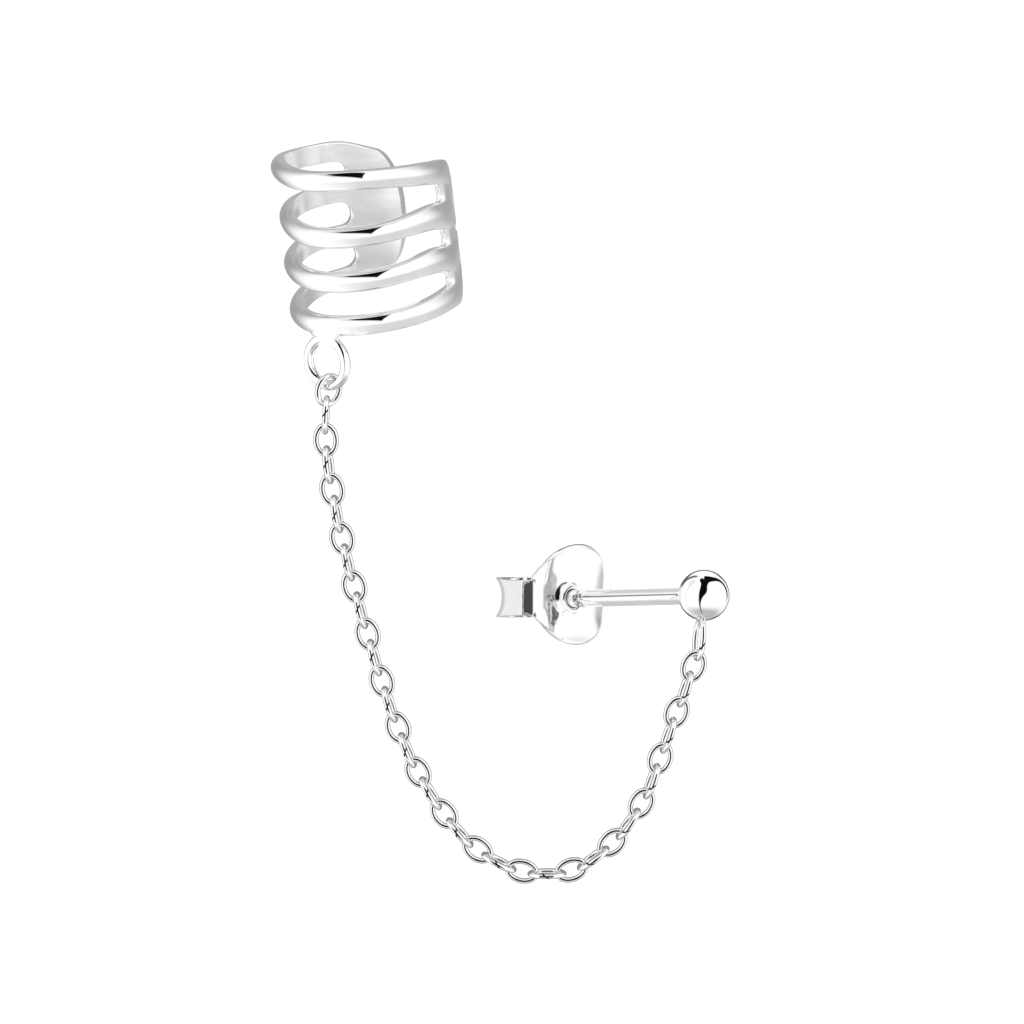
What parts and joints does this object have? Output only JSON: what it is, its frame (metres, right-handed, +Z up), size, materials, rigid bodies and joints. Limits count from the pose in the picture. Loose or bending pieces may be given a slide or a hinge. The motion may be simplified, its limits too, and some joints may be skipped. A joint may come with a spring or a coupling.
{
  "type": "ear chain earring",
  "caption": "Ear chain earring: a polished silver ear cuff with parallel bands, a hanging cable chain, and a ball stud held by a push-on butterfly nut.",
  "frame": {"origin": "middle of the ear cuff's hollow, where it clasps the rim of the ear", "axes": "+Z up as worn, along the hanging chain; +X towards the stud; +Y towards the back, -Y faces the viewer"},
  "size_m": [0.0223, 0.0113, 0.0362],
  "materials": {
    "silver": "polished sterling silver"
  },
  "bodies": {
    "ear_chain": {"ear_cuff": "silver", "link_01": "silver", "link_02": "silver", "link_03": "silver", "link_04": "silver", "link_05": "silver", "link_06": "silver", "link_07": "silver", "link_08": "silver", "link_09": "silver", "link_10": "silver", "link_11": "silver", "link_12": "silver", "link_13": "silver", "link_14": "silver", "link_15": "silver", "link_16": "silver", "link_17": "silver", "link_18": "silver", "link_19": "silver", "link_20": "silver", "link_21": "silver", "link_22": "silver", "link_23": "silver", "link_24": "silver", "link_25": "silver", "link_26": "silver", "link_27": "silver", "link_28": "silver", "link_29": "silver", "link_30": "silver", "link_31": "silver", "link_32": "silver", "link_33": "silver", "link_34": "silver", "link_35": "silver", "ball_stud": "silver"},
    "ear_nut": {"ear_nut": "silver"}
  },
  "joints": [
    {"name": "nut_slide", "type": "slide", "parent": "ear_chain", "child": "ear_nut", "axis": [-0.6917, 0.6917, -0.2079], "range_m": [-0.007, 0.005]}
  ]
}
